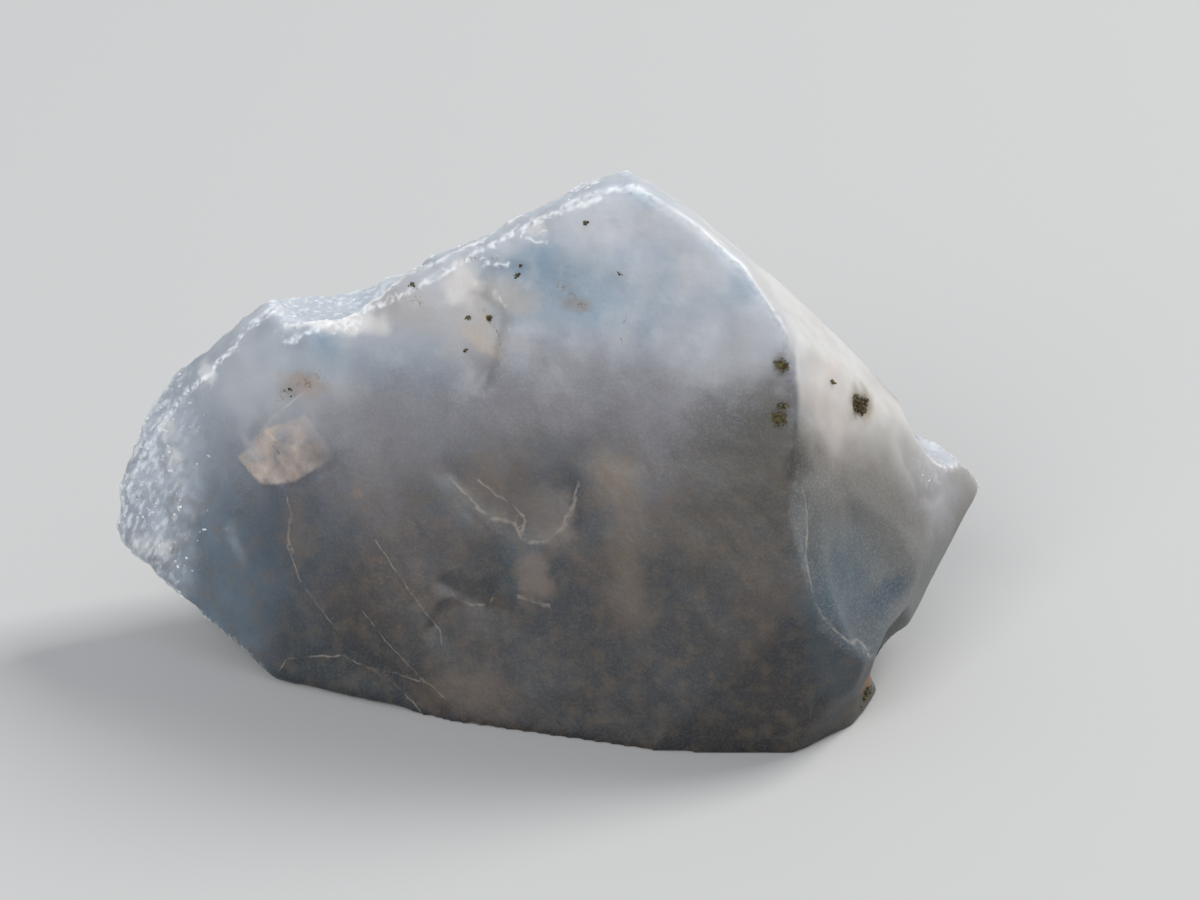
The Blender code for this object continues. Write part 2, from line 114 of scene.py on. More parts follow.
# Soft patches of colour: centre and half sizes in millimetres, colour, strength and softness
PATCHES = {
    "upper_blue": ((1.4, -3.0, 22.6), (4.2, 3.0, 2.2), PALE_BLUE, 0.80, 0.7),
    "upper_left_blue": ((-12.8, 0.2, 17.4), (3.4, 3.0, 1.1), PALE_BLUE, 0.45, 0.7),
    "middle_left_blue": ((-8.4, -1.6, 18.8), (4.0, 3.0, 1.6), PALE_BLUE, 0.30, 0.8),
    "right_mist": ((9.6, -6.4, 21.4), (3.4, 3.0, 2.6), LIGHT, 0.80, 0.7),
    "left_bevel": ((-17.4, -1.0, 5.6), (5.6, 4.0, 5.6), BLUE_SHADE, 0.80, 0.9),
    "left_shade": ((-13.6, -1.8, 8.8), (2.6, 3.0, 3.8), SHADE_GREY, 0.40, 0.8),
    # Painted shade on the undercut at the foot, which faces down.
    "arch": ((-10.2, -5.6, 0.6), (5.0, 3.0, 2.4), tone(30, 42, 48), 0.85, 0.35),
    # Painted shade low on the thick front.
    "lower_shade": ((6.6, -9.6, 3.6), (3.4, 3.0, 3.6), tone(34, 42, 48), 0.80, 0.6),
    "lower_middle_shade": ((-0.2, -8.6, 4.6), (2.2, 3.0, 3.2), tone(56, 60, 66), 0.60, 0.7),
    "centre_teal": ((-5.0, -4.4, 10.8), (1.6, 3.0, 1.4), tone(64, 84, 92), 0.55, 0.7),
    "centre_teal_low": ((-1.2, -7.0, 8.4), (0.9, 3.0, 1.8), tone(60, 78, 84), 0.50, 0.7),
    "ridge_brown": ((10.0, -8.4, 13.4), (2.8, 3.0, 5.4), tone(68, 60, 46), 0.90, 0.8),
    "ridge_dark": ((11.8, -8.9, 15.4), (1.3, 3.0, 3.0), tone(60, 55, 42), 0.85, 0.7),
    "streak_high": ((3.7, -6.5, 13.6), (1.1, 3.0, 1.3), tone(146, 126, 104), 0.70, 0.8),
    "streak_middle": ((4.4, -7.6, 10.8), (1.0, 3.0, 2.2), tone(122, 106, 90), 0.65, 0.8),
    "streak_low": ((4.5, -8.6, 7.4), (1.0, 3.0, 1.6), tone(112, 97, 82), 0.62, 0.7),
    "glitter": ((-3.6, -7.2, 1.6), (2.8, 3.0, 1.3), tone(112, 95, 81), 0.75, 0.6),
    "lobe_left": ((-2.9, -4.6, 12.2), (1.5, 3.0, 1.6), tone(128, 116, 106), 0.65, 0.5),
    "lobe_right": ((0.2, -5.8, 11.4), (1.5, 3.0, 1.5), tone(126, 116, 108), 0.70, 0.4),
    "trapezoid": ((-0.4, -6.9, 8.0), (0.9, 3.0, 1.2), tone(136, 118, 108), 0.75, 0.4),
    "cream_triangle": ((-3.4, -2.0, 20.6), (1.5, 2.5, 2.0), CREAM, 0.40, 0.7),
    "cream_wing": ((-1.6, -2.0, 21.8), (1.7, 2.5, 0.8), CREAM, 0.55, 0.6),
    "rosy_upper_left": ((-7.8, -0.4, 20.7), (2.6, 2.5, 1.2), tone(196, 184, 176), 0.55, 0.7),
    "rosy_lobe": ((-6.0, -4.0, 9.0), (2.4, 3.0, 1.8), tone(98, 84, 82), 0.45, 0.8),
    "left_brown_column": ((-13.4, -2.4, 8.6), (0.55, 3.0, 2.0), tone(116, 100, 90), 0.50, 0.6),
    "small_beige": ((-10.0, -2.8, 10.9), (0.30, 2.0, 0.30), tone(150, 124, 104), 0.60, 0.5),
    "groove_rust": ((-13.0, 0.1, 16.0), (1.3, 2.0, 0.60), tone(166, 120, 68), 0.95, 0.4),
    "groove_olive": ((-13.8, 0.1, 15.5), (0.60, 1.5, 0.45), OLIVE, 0.90, 0.5),
    "dash_rust": ((1.8, -3.4, 22.0), (0.8, 1.5, 0.35), tone(150, 132, 112), 0.60, 0.6),
    "foot_blue": ((16.2, -10.4, 5.4), (2.4, 4.0, 2.6), tone(58, 76, 88), 0.75, 0.6),
    "foot_olive": ((17.2, -8.0, 1.4), (1.1, 3.0, 1.6), tone(56, 54, 22), 0.90, 0.6),
    "foot_rust": ((17.2, -7.6, 2.6), (0.8, 2.0, 0.6), tone(156, 104, 46), 0.95, 0.5),
    "right_blue": ((15.4, -9.6, 9.0), (2.2, 3.0, 2.2), tone(76, 98, 110), 0.85, 0.7),
    "right_blue_streak": ((18.4, -7.4, 6.8), (1.6, 2.5, 0.7), tone(54, 78, 96), 0.80, 0.5),
    "right_rose": ((14.6, -5.4, 17.4), (1.6, 2.5, 2.4), tone(240, 226, 218), 0.60, 0.7),
    # A painted highlight on the rounded upper left crest.
    "crest_band_highlight": ((-10.8, 0.2, 19.7), (2.5, 2.5, 0.8), tone(255, 252, 247), 0.95, 0.4),
    "notch_white": ((-4.2, -1.2, 22.2), (1.0, 2.0, 0.9), tone(252, 246, 240), 0.90, 0.5),
    "chip_white": ((-0.2, -1.0, 25.3), (0.6, 1.5, 0.4), tone(246, 244, 240), 0.80, 0.5),
    # Painted light on the tip facet, which faces the lamps.
    "tip_facet": ((21.9, -0.9, 10.6), (2.2, 2.5, 2.8), tone(196, 196, 200), 0.70, 0.9),
    "left_light": ((-15.2, 0.4, 15.6), (4.2, 3.0, 2.4), LIGHT, 0.55, 0.7),
    "left_rim": ((-21.4, 2.4, 9.6), (2.6, 4.0, 5.8), tone(206, 216, 226), 0.65, 0.6),
    "blotch_high": ((-18.5, 3.0, 15.3), (0.55, 1.5, 0.50), FROST, 0.85, 0.4),
    "blotch_rim": ((-20.9, 2.8, 11.9), (0.65, 1.5, 0.55), FROST, 0.75, 0.5),
    "blotch_rim_low": ((-20.5, 1.9, 10.7), (0.45, 1.5, 0.45), FROST, 0.60, 0.5),
    "blotch_foot": ((-21.4, 0.9, 5.6), (0.55, 1.5, 0.60), FROST, 0.75, 0.5),
    "blotch_foot_left": ((-22.6, 1.6, 5.4), (0.60, 1.5, 0.50), FROST, 0.55, 0.6),
    "pit_halo_right": ((16.8, -3.6, 16.4), (0.9, 1.4, 0.9), tone(150, 130, 92), 0.75, 0.6),
    "pit_halo_low": ((12.1, -8.3, 17.7), (0.6, 1.4, 0.8), OLIVE, 0.65, 0.6),
    "pit_halo_high": ((12.2, -7.5, 20.4), (0.35, 1.0, 0.55), OLIVE, 0.60, 0.6),
    "pit_core_right": ((16.6, -3.6, 16.3), (0.55, 1.2, 0.42), EARTH, 0.90, 0.4),
    "pit_core_low": ((12.15, -8.4, 17.6), (0.32, 1.2, 0.55), EARTH, 0.90, 0.4),
    "pit_core_high": ((12.2, -7.6, 20.2), (0.28, 1.0, 0.45), EARTH, 0.85, 0.4),
}

# Lines seen from the front: corners as x and z in millimetres, and half the line's width
WHITE_LINES = {
    "lobes": (((-4.9, 12.4), (-3.8, 11.5), (-3.0, 10.75), (-1.5, 10.6), (-1.1, 10.0), (-0.5, 9.8),
               (0.3, 10.1), (1.05, 10.75), (1.5, 11.6), (1.7, 12.4), (1.9, 13.2)), 0.085),
    "lobe_parting": (((-1.1, 10.0), (-0.95, 11.0), (-1.6, 11.6), (-2.6, 12.0), (-3.4, 12.6)), 0.065),
    "small_arc": (((-5.0, 6.9), (-4.6, 6.3), (-3.6, 6.1), (-2.9, 6.3), (-2.5, 6.9)), 0.045),
    "trapezoid_foot": (((-1.3, 6.95), (0.35, 6.75)), 0.09),
    "diagonal": (((-9.0, 8.7), (-7.6, 7.0), (-6.6, 5.8), (-5.5, 4.6), (-5.4, 3.9)), 0.035),
    "left_diagonal": (((-14.0, 7.6), (-13.3, 5.9), (-12.4, 4.9), (-11.2, 3.7)), 0.035),
    "left_upright": (((-13.9, 9.9), (-13.7, 9.0), (-13.9, 8.0), (-13.6, 7.2)), 0.06),
    "low_diagonal_left": (((-9.8, 5.0), (-8.2, 3.4), (-6.6, 2.1), (-5.0, 1.1)), 0.03),
    "arch_line": (((-14.6, 0.6), (-14.0, 1.5), (-12.8, 1.9), (-10.8, 2.3), (-9.2, 1.9), (-8.3, 1.6),
                   (-7.0, 0.6), (-6.1, -0.4)), 0.05),
    "arch_branch": (((-9.6, 2.0), (-7.9, 2.0), (-6.1, 1.8), (-5.2, 1.2)), 0.045),
    "glitter_foot": (((-5.6, -0.4), (-4.2, 0.0), (-2.6, 0.2)), 0.05),
    "quad_top": (((-15.4, 13.1), (-14.4, 12.75), (-13.4, 12.55)), 0.075),
    "quad_left": (((-16.7, 11.6), (-16.1, 10.9)), 0.06),
    "groove_line": (((-15.3, 13.2), (-14.6, 14.0), (-13.6, 15.0), (-12.6, 15.9), (-11.9, 16.5)), 0.05),
    "ridge_jog": (((12.9, 14.4), (13.4, 14.2), (13.6, 12.9), (13.5, 11.2), (13.9, 9.2)), 0.05),
    "foot_curve": (((13.9, 9.2), (14.4, 8.0), (15.3, 7.0), (16.4, 6.0), (17.3, 4.6)), 0.06),
}
# Bright white lines: crushed white along the left skyline, the ledge and the chip; a painted highlight on
# the rounded upper left crest, with beaded white along the crest line.
BRIGHT_LINES = {
    "left_skyline": (((-14.7, 19.0), (-16.3, 17.6), (-18.2, 15.5), (-19.8, 13.9), (-21.0, 12.4),
                      (-22.5, 10.1), (-23.3, 8.3)), 0.09),
    "ledge": (((-3.0, 23.35), (-2.4, 23.4), (-1.8, 23.45)), 0.09),
    "chip_foot": (((-0.8, 24.9), (-0.2, 24.75), (0.3, 24.9)), 0.07),
    "painted_highlight_spot": (((-11.6, 19.3), (-10.6, 19.7), (-9.6, 20.2)), 0.34),
    "painted_highlight_band": (((-14.0, 18.0), (-13.0, 18.5), (-11.6, 19.3)), 0.14),
    "crest_line": (((-9.6, 20.2), (-7.4, 21.3), (-5.0, 22.8), (-2.6, 24.4), (0.2, 26.0), (3.0, 27.3)), 0.10),
}
BROWN_LINES = {
    "groove_stain": (((-14.4, 15.0), (-13.5, 15.6), (-12.5, 16.4), (-11.8, 16.7)), 0.22),
    "dash": (((0.9, 22.7), (1.5, 22.5), (2.2, 21.9)), 0.20),
    "notch_shade": (((-3.0, 20.9), (-2.6, 20.2), (-2.2, 19.6)), 0.12),
    "ledge_shade": (((-4.0, 23.5), (-3.2, 23.6), (-2.3, 23.7)), 0.08),
    "quad_fold": (((-14.9, 12.6), (-14.3, 12.0), (-13.8, 11.6)), 0.05),
    "upper_nick": (((-7.1, 21.0), (-6.3, 21.0)), 0.13),
    "upper_nick_high": (((-6.9, 21.6), (-6.6, 21.7)), 0.08),
    "dash_right": (((4.4, 21.8), (4.2, 21.4)), 0.05),
    "dash_right_low": (((4.1, 20.7), (4.15, 20.4)), 0.05),
    "ridge_crack": (((12.5, 19.6), (12.55, 18.6), (12.4, 17.4)), 0.05),
    "ridge_crack_low": (((12.5, 16.6), (12.6, 15.4), (12.9, 14.4)), 0.07),
}

# The corners of the beige stain and of the cream facet on the front, x and z, in order round each
QUAD = ((-16.75, 11.5), (-15.35, 10.2), (-13.3, 10.8), (-11.0, 12.6), (-11.9, 13.6), (-12.7, 14.6),
        (-15.3, 13.2))
CREAM_FACET = ((-4.5, 20.0), (-3.4, 18.9), (-1.7, 18.5), (-2.9, 21.1))

# Specks of earth on the surface: place and size of the heap, and how many grains it has
EARTH_HEAPS = {
    "right_pit": ((16.7, -3.6, 16.3), 0.46, 150),
    "right_pit_tail": ((16.2, -4.0, 16.9), 0.24, 20),
    "ridge_pit_low": ((12.15, -8.3, 17.6), 0.31, 90),
    "ridge_pit_low_top": ((12.2, -8.2, 18.3), 0.22, 16),
    "ridge_pit_high": ((12.2, -7.6, 20.3), 0.25, 56),
    "right_speck": ((14.5, -5.1, 18.2), 0.12, 7),
    "upper_pit": ((-1.3, -1.9, 22.9), 0.16, 16),
    "upper_speck": ((-1.1, -1.8, 23.4), 0.07, 4),
    "notch_pit": ((-2.8, -2.1, 20.6), 0.15, 14),
    "notch_speck": ((-3.9, -2.0, 20.6), 0.13, 7),
    "left_speck": ((-4.0, -2.5, 18.9), 0.12, 8),
    "crest_speck": ((2.3, -2.3, 26.0), 0.14, 10),
    "upper_right_speck": ((4.2, -3.3, 23.6), 0.12, 8),
    "upper_left_speck": ((-6.9, -0.6, 21.9), 0.14, 8),
    "groove": ((-13.7, 0.1, 15.5), 0.40, 9),
    "foot": ((17.0, -8.2, 1.6), 0.70, 40),
}
EARTH_GRAIN = (0.045, 0.19)

# White crushed grains: how many, and their size in millimetres
WHITE_GRAINS = 800
WHITE_GRAIN = (0.05, 0.19)
SEED = 7
GRAIN_CORNERS = 8
GRAIN_FLATNESS = 0.7

# Fine relief in millimetres: height, and the length over which it varies
SATIN = (0.010, 0.60)
SWELL = (0.035, 3.2)
STEP_HEIGHT = 0.028
STEP_SPACING = 1.9
STEP_RISER = 0.14
NIBBLE = (0.20, 0.90)
CHIP_HEIGHT = 0.10
CHIP_SIZE = 0.55
SEAM_HEIGHT = 0.012
SEAM_WIDTH = 0.16

# How rough crushed places and bright lines are, beside broken edges, and where the foot is calm
CRUSHED_RELIEF = 0.14
BRIGHT_RELIEF = 0.2
BRIGHT_REACH = (0.1, 0.5)
CALM_FOOT = (0.05, 0.45)

# The ridge between the front and the right face, from its top to its foot: x and z
RIDGE = ((12.9, 21.1), (13.05, 17.4), (12.55, 13.0), (13.5, 10.2), (14.4, 7.2), (17.4, 4.3), (18.4, 2.0))

# How soft the border along the ridge is, how uneven, and which faces above it look right
RIDGE_SOFT = (-0.12, 0.16)
RIDGE_UNEVEN = (0.12, 0.8)
RIDGE_TOP = (20.2, 21.6)
RIGHT_FACES = (0.20, 0.42)

# Where the crystal is crushed: from none to all along x or z in millimetres, or by how level it is
RIM = (18.6, 22.2)
RIM_LEAN = 0.10
CREST_LEVEL = (0.70, 0.90)
CREST_HEIGHTS = (15.0, 19.0)
CREST_END = (-5.0, -2.0)
CREST_CRUSHED = 0.8
TIP = (18.8, 21.6)
TIP_HEIGHTS = (8.5, 11.5)
TIP_CRUSHED = 0.7

# Where edges are frosted, in the same way
FROSTED_HEIGHTS = (14.5, 21.0)
FROSTED_LEFT = (13.5, 18.5)
FROSTED_TIP = (16.5, 20.0)
FROSTED_TIP_HEIGHTS = (6.0, 10.0)
FROSTED_BACK = (2.0, 6.0)
PLAIN_TOP = (4.0, 6.0)
EDGE_BULGE = (0.024, 0.09)

# From the dark foot to the light top in millimetres, and how much thin crystal lightens it: painted shade
# low and in thick crystal, painted glow high and in thin crystal
DARK_TO_LIGHT = (6.2, 25.6)
THIN_TO_THICK = (0.25, 0.60)
THIN_DARKNESS = 0.45
# How dark the painted shade grows right at the foot, and the heights over which it eases
FOOT_DARKNESS = 0.14
FOOT_HEIGHTS = (-1.0, 13.0)
# Heights over which the right face turns from grey to a painted lit warm white at its top
RIGHT_WHITE = (15.4, 20.8)
RIGHT_GREY = (12.0, 17.0)
BACK_FACES = (-0.05, 0.45)
BACK_TOP = (19.0, 22.0)
# How level a facet is painted pale: crushed white and painted light from above
TOP_FACES = (0.66, 0.86)
LEFT_END_PLACES = (13.5, 19.0)
# Which depth of painted shade counts as fully shaded, for the material's veils and grain
PAINTED_SHADE_RANGE = (0.15, 0.70)

# How the colours vary: lengths of the clouds in millimetres, and how much each one moves them
CLOUD_SPAN = 5.5
FINE_CLOUD_SPAN = 1.7
CLOUD_RISE = 1.2
# How much lighter the painted light-to-shade gradient gets towards the left end, and darker towards the
# right
LEFT_RISE = 0.36
RIGHT_FALL = 0.22
FINE_DARKNESS = 0.10
FINE_PAINT = 0.16
# How much lower the right face's painted light reaches towards the tip
TIPWARD = 0.8

# How strongly the back, the top facets and the left end take their own colours; the top facets' pale is
# crushed white and painted light from above
BACK_STRENGTH = 0.55
TOP_STRENGTH = 0.8
LEFT_END_STRENGTH = 0.75

# How strongly each layer of the finish covers the one under it
WISP_STRENGTH = 0.30
VEIL_STRENGTH = 0.32
GAP_STRENGTH = 0.22
GRIT_STRENGTH = 0.16
CRACK_STRENGTH = 0.36
RUST_STRENGTH = 0.80
SUGAR_STRENGTH = 0.60
BRIGHT_STRENGTH = 0.85
FROST_STRENGTH = 0.80

# Over how many millimetres the noises of the finish vary
FLECK_LENGTH = 0.28
GRIT_LENGTH = 0.13
DRIFT_LENGTH = 0.9
STREAK_LENGTH = 0.30
CLOUD_LENGTH = 1.1
WISP_LENGTH = 1.3
GAP_LENGTH = 1.5
WAVER_LENGTH = 0.55
STREAK_WAY = (0.55, 0.10, 0.83)

# The body: its clear share, refraction, roughness, the milky part's depth and the dye in it
CLEAR_SHARE = 0.42
REFRACTION = 1.62
ROUGHNESS = 0.38
ROUGHNESS_VARIES = 0.20
COVER_ROUGHNESS = 0.25
MILKY_SHARE = 0.7
MILKY_RADIUS = (0.8, 0.9, 1.0)
MILKY_DEPTH = 2.2 * MM
BUMP_DEPTH = 0.012 * MM
DYE = (0.55, 0.60, 0.68, 1.0)
DYE_DENSITY = 120.0

# The surroundings
FLOOR_REACH = 3.0
FLOOR_DROP = 0.02 * MM
FLOOR_GREY = (0.46, 0.46, 0.455, 1.0)
FLOOR_ROUGHNESS = 0.75
SKY = (0.88, 0.92, 1.0, 1.0)
SKY_STRENGTH = 0.50
LIGHT_AIM = Vector((0.0, 0.0, 0.012))

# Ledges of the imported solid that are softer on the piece: centre and half sizes in millimetres
EASED = {
    "arch": ((-9.6, -5.6, 2.0), (6.0, 3.0, 2.8)),
    "lobes": ((-1.5, -5.2, 10.6), (4.6, 3.0, 3.0)),
    "ridge_jog": ((13.6, -8.4, 13.8), (2.0, 2.6, 1.8)),
}
EASING = (0.9, 0.3)
EASING_PASSES = 26

# How thick the crystal is under the surface: rays per point, and what counts as thick
THICKNESS_RAYS = 24
THICKNESS_START = 0.05
THICKNESS_NEAREST = 3
THICK = 17.0

# How much each crushed facet tilts and how high it stands
CHIP_TILT = 1.6
CHIP_STEP = 0.9

# Faint cleavage steps: across which direction, how they bend, and how large their patches are
CLEAVAGE = Vector((0.80, -0.10, 0.58)).normalized()
STEP_BEND = (1.1, 6.0)
STEP_PATCHES = 4.0


def apply_modifiers(thing):
    """Replaces the mesh of an object with what its modifiers make of it."""
    depsgraph = bpy.context.evaluated_depsgraph_get()
    made = bpy.data.meshes.new_from_object(thing.evaluated_get(depsgraph))
    old = thing.data
    thing.modifiers.clear()
    thing.data = made
    bpy.data.meshes.remove(old)


def read_points(mesh):
    """The vertices in millimetres."""
    points = np.empty(len(mesh.vertices) * 3)
    mesh.vertices.foreach_get("co", points)
    return points.reshape(-1, 3) / MM


def read_normals(mesh):
    normals = np.empty(len(mesh.vertices) * 3)
    mesh.vertex_normals.foreach_get("vector", normals)
    return normals.reshape(-1, 3)


def write_points(mesh, points):
    mesh.vertices.foreach_set("co", (points * MM).ravel())
    mesh.update()


def write_share(mesh, name, values):
    """Keeps one number for each vertex, for the material to read."""
    mesh.attributes.new(name, "FLOAT", "POINT").data.foreach_set("value", values.astype(np.float32))


def write_vector(mesh, name, vectors):
    kept = mesh.attributes.new(name, "FLOAT_VECTOR", "POINT")
    kept.data.foreach_set("vector", vectors.astype(np.float32).ravel())


def smooth_step(value):
    t = np.clip(value, 0.0, 1.0)
    return t * t * (3.0 - 2.0 * t)


def between(value, low, high):
    """0 at low, 1 at high, and a smooth way from one to the other."""
    return smooth_step((value - low) / (high - low))


def rough(points, length, octaves, offset=(0.0, 0.0, 0.0)):
    """Smooth noise at each point, about -1 to 1, that varies over the given length."""
    moved = points / length + np.array(offset)
    return np.array([noise.fractal(Vector(p), 1.0, 2.0, octaves) for p in moved])


def mesh_ends(mesh):
    ends = np.empty(len(mesh.edges) * 2, dtype=np.int64)
    mesh.edges.foreach_get("vertices", ends)
    return ends.reshape(-1, 2).T


def neighbour_mean(ends, values):
    """The mean of each vertex's neighbours, for an array with one row for each vertex."""
    first, second = ends
    total = np.zeros_like(values)
    np.add.at(total, first, values[second])
    np.add.at(total, second, values[first])
    count = np.bincount(first, minlength=len(values)) + np.bincount(second, minlength=len(values))
    return total / count.reshape((-1,) + (1,) * (values.ndim - 1))


def blur(ends, values, passes):
    for _ in range(passes):
        values = 0.5 * values + 0.5 * neighbour_mean(ends, values)
    return values


def inward_directions():
    """Directions spread evenly over a half sphere round -Z."""
    golden = math.pi * (3.0 - math.sqrt(5.0))
    found = []
    for i in range(THICKNESS_RAYS):
        height = (i + 0.5) / THICKNESS_RAYS
        reach = math.sqrt(1.0 - height * height)
        found.append(Vector((reach * math.cos(golden * i), reach * math.sin(golden * i), -height)))
    return found


def thickness_at(points, node):
    """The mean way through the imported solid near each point, from 0, thin, to 1, thick."""
    shape = bmesh.new()
    shape.from_mesh(node.data)
    bmesh.ops.remove_doubles(shape, verts=shape.verts, dist=1e-7)
    shape.normal_update()
    inside = BVHTree.FromBMesh(shape)
    directions = inward_directions()
    tree = KDTree(len(shape.verts))
    values = []
    for i, vertex in enumerate(shape.verts):
        turn = vertex.normal.to_track_quat("Z", "Y")
        start = vertex.co - vertex.normal * THICKNESS_START * MM
        ways = []
        for direction in directions:
            hit = inside.ray_cast(start, turn @ direction)
            ways.append(hit[3] if hit[3] is not None else 0.0)
        tree.insert(vertex.co, i)
        values.append(sum(ways) / len(ways) / MM)
    tree.balance()
    shape.free()
    found = np.empty(len(points))
    for i, point in enumerate(points * MM):
        nearest = tree.find_n(Vector(point), THICKNESS_NEAREST)
        found[i] = sum(values[index] for _, index, _ in nearest) / len(nearest)
    return np.clip(found / THICK, 0.0, 1.0)


def chips(points, size):
    """Crushed facets: each scattered grain has a height and a tilt of its own, about -1 to 1."""
    found = np.empty(len(points))
    for i, point in enumerate(points / size):
        here = Vector(point)
        centre = noise.voronoi(here)[1][0]
        tilt = noise.noise_vector(centre * 5.3)
        found[i] = CHIP_TILT * tilt.dot(here - centre) + CHIP_STEP * noise.noise(centre * 7.1)
    return found


def cleavage_steps(points):
    """Faint parallel steps along the crystal's cleavage, in patches."""
    bend, bend_length = STEP_BEND
    along = points @ np.array(CLEAVAGE) + bend * rough(points, bend_length, 2, (4.0, 1.0, 8.0))
    field = along / STEP_SPACING
    level = field - np.floor(field)
    rise = smooth_step(level / STEP_RISER) - level
    patchy = between(rough(points, STEP_PATCHES, 2, (7.0, 3.0, 1.0)), 0.0, 0.5)
    return STEP_HEIGHT * rise * patchy


def way_to_lines(points, lines, reach=0.6):
    """The way from each point to the nearest line, in half widths, and the distance.

    The way is kept as a vector, because its length stays right between two vertices with the line
    between them. It is a long constant one out of reach, and behind the piece.
    """
    flat = points[:, (0, 2)]
    best = np.full(len(points), reach)
    ways = np.full((len(points), 3), 9.0)
    front = points[:, 1] < 1.5 + 3.5 * between(-points[:, 0], 12.0, 15.0)
    for corners, half_width in lines.values():
        for start, end in zip(corners[:-1], corners[1:]):
            start, end = np.array(start), np.array(end)
            run = end - start
            share = np.clip((flat - start) @ run / (run @ run), 0.0, 1.0)
            off = flat - start - share[:, None] * run
            length = np.hypot(off[:, 0], off[:, 1])
            nearer = front & (length < best)
            best[nearer] = length[nearer]
            ways[nearer, 0] = off[nearer, 0] / half_width
            ways[nearer, 1] = 0.0
            ways[nearer, 2] = off[nearer, 1] / half_width
    return ways, best


def inside_corners(points, corners):
    """How far each point is inside a convex outline on the front, in millimetres."""
    flat = points[:, (0, 2)]
    found = np.full(len(points), 9.0)
    for start, end in zip(corners, corners[1:] + corners[:1]):
        run = np.array(end) - np.array(start)
        across = np.array((-run[1], run[0])) / np.hypot(*run)
        found = np.minimum(found, (flat - np.array(start)) @ across)
    return np.where(points[:, 1] < 4.0, found, -9.0)


def patch_share(points, centre, size, strength, softness):
    """1 in an ellipsoid and 0 outside it, with an uneven soft border."""
    reach = np.linalg.norm((points - np.array(centre)) / np.array(size), axis=1)
    found = np.zeros(len(points))
    near = reach < 2.2
    uneven = reach[near] + 0.35 * rough(points[near], 0.35 * (size[0] + size[2]), 3, centre)
    found[near] = strength * (1.0 - between(uneven, 1.0 - softness, 1.0 + softness))
    return found


def blend(first, second, share):
    return first * (1.0 - share[:, None]) + np.array(second) * share[:, None]


def crushed_share(points, normals):
    """1 on the crushed left end, the crest strip and the broken tip, fading to 0 elsewhere."""
    rim_start, rim_end = RIM
    left_rim = between(-points[:, 0], rim_start - RIM_LEAN * points[:, 2], rim_end)
    crest = between(normals[:, 2], *CREST_LEVEL) * between(points[:, 2], *CREST_HEIGHTS)
    crest *= between(-points[:, 0], *CREST_END)
    tip = between(points[:, 0], *TIP) * between(points[:, 2], *TIP_HEIGHTS)
    return np.maximum.reduce([left_rim, CREST_CRUSHED * crest, TIP_CRUSHED * tip])


def right_share(points, normals, ends):
    """1 right of the ridge and 0 left of it, and above the ridge's top by where the face looks."""
    heights = [corner[1] for corner in reversed(RIDGE)]
    places = [corner[0] for corner in reversed(RIDGE)]
    uneven, uneven_length = RIDGE_UNEVEN
    past = points[:, 0] - np.interp(points[:, 2], heights, places)
    past -= uneven * rough(points, uneven_length, 2, (1.0, 9.0, 4.0))
    by_place = between(past, *RIDGE_SOFT)
    by_face = blur(ends, between(normals[:, 0] + 0.3 * normals[:, 1], *RIGHT_FACES), 2)
    above = between(points[:, 2], *RIDGE_TOP)
    return by_place * (1.0 - above) + by_face * above


def frosted_share(points):
    """How white the edges are: most at the top, the left end and the tip, least low on the front."""
    top = between(points[:, 2], *FROSTED_HEIGHTS)
    left_end = 0.8 * between(-points[:, 0], *FROSTED_LEFT)
    tip = between(points[:, 0], *FROSTED_TIP) * between(points[:, 2], *FROSTED_TIP_HEIGHTS)
    back = 0.5 * between(points[:, 1], *FROSTED_BACK)
    top *= 1.0 - 0.65 * between(points[:, 0], *PLAIN_TOP)
    return np.maximum.reduce([top, left_end, tip, back])


